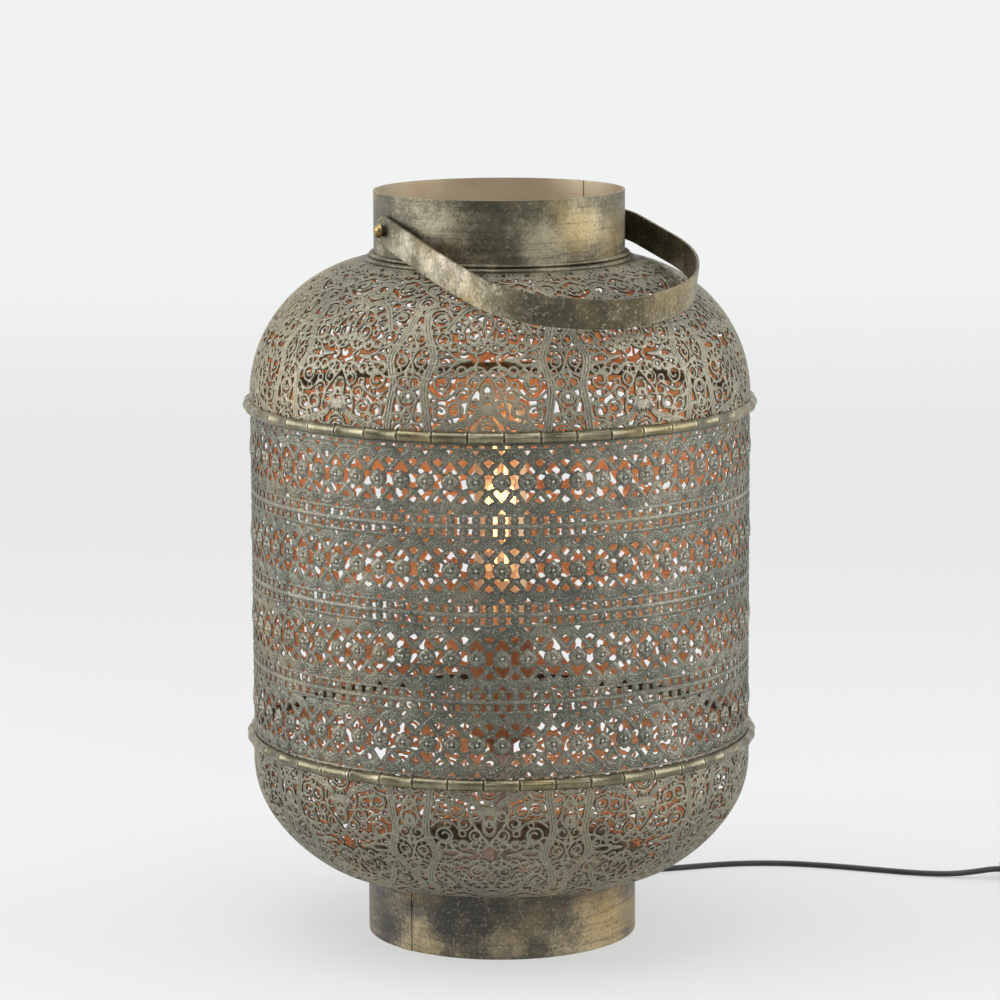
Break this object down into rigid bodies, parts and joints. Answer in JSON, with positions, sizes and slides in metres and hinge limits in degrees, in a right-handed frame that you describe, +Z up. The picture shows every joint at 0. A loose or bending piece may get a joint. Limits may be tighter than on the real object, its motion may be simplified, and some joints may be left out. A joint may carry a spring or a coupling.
{
  "type": "lantern table lamp",
  "caption": "Pierced sheet-metal lantern table lamp: round foot, domed body open at the neck, swinging strap handle, tube bulb in a screw holder, flat cord with switch and plug.",
  "frame": {"origin": "middle of the foot on the surface it stands on", "axes": "+Z up along the lantern's axis, -Y the front, +X to the right seen from the front"},
  "size_m": [0.6285, 0.31, 0.4547],
  "materials": {
    "foot": "aged bronze-grey sheet with fine turned streaks and worn gold patches",
    "sheet": "embossed and pierced pewter-bronze sheet, coppery inside",
    "bead": "aged olive brass bead with pale highlights",
    "collar": "dark antique brass with pale and gold mottled patches",
    "strap": "pale mottled antique strap, darker inside",
    "brass": "plain brass",
    "plated": "zinc-plated steel",
    "black": "black thermoset",
    "holder": "copper-brown plated metal of the lampholder",
    "black_glass": "black vitrite",
    "ceramic": "white glazed ceramic",
    "glass": "clear amber-tinted glass",
    "filament": "glowing filament stick",
    "rubber": "black flexible moulding",
    "cord": "black flat cord"
  },
  "bodies": {
    "lantern": {"foot_ring": "foot", "base_plate": "plated", "bowl": "sheet", "lower_bead_band": "bead", "drum": "sheet", "upper_bead_band": "bead", "dome": "sheet", "neck_ring": "collar", "collar": "collar", "pivot_screws": "brass", "pivot_spacers": "black", "pivot_washers": "brass", "pivot_nuts": "brass", "stem_pipe": "plated", "stem_nuts": "plated", "stem_washers": "plated", "holder_cap": "holder", "holder_body": "holder", "holder_block": "ceramic", "holder_screw_shell": "brass", "holder_contact": "brass", "holder_terminals": "brass", "strain_relief": "rubber", "inner_lead": "cord", "lead_cores": "cord", "cord_lead": "cord", "cord_link": "cord", "cord_coil": "cord", "cord_tail": "cord", "switch_base": "black", "switch_cover": "black", "switch_screws": "plated", "switch_contacts": "brass", "plug_sleeve": "rubber", "plug_body": "black", "plug_pins": "plated"},
    "handle": {"handle": "strap"},
    "bulb": {"bulb_contact": "brass", "bulb_insulator": "black_glass", "bulb_cap": "plated", "bulb_glass": "glass", "bulb_mount": "glass", "bulb_filaments": "filament", "bulb_supports": "plated"},
    "rocker": {"switch_rocker": "black"}
  },
  "joints": [
    {"name": "handle_swing", "type": "hinge", "parent": "lantern", "child": "handle", "pos_m": [0, 0, 0.4336], "axis": [-0.8746, -0.4848, 0], "range_deg": [0, 208]},
    {"name": "bulb_unscrew", "type": "slide", "parent": "lantern", "child": "bulb", "axis": [0, 0, 1], "range_m": [0, 0.028]},
    {"name": "switch_rock", "type": "hinge", "parent": "lantern", "child": "rocker", "pos_m": [0.356, 0.106, 0.0123], "axis": [0, 1, 0], "range_deg": [-16, 0]}
  ]
}
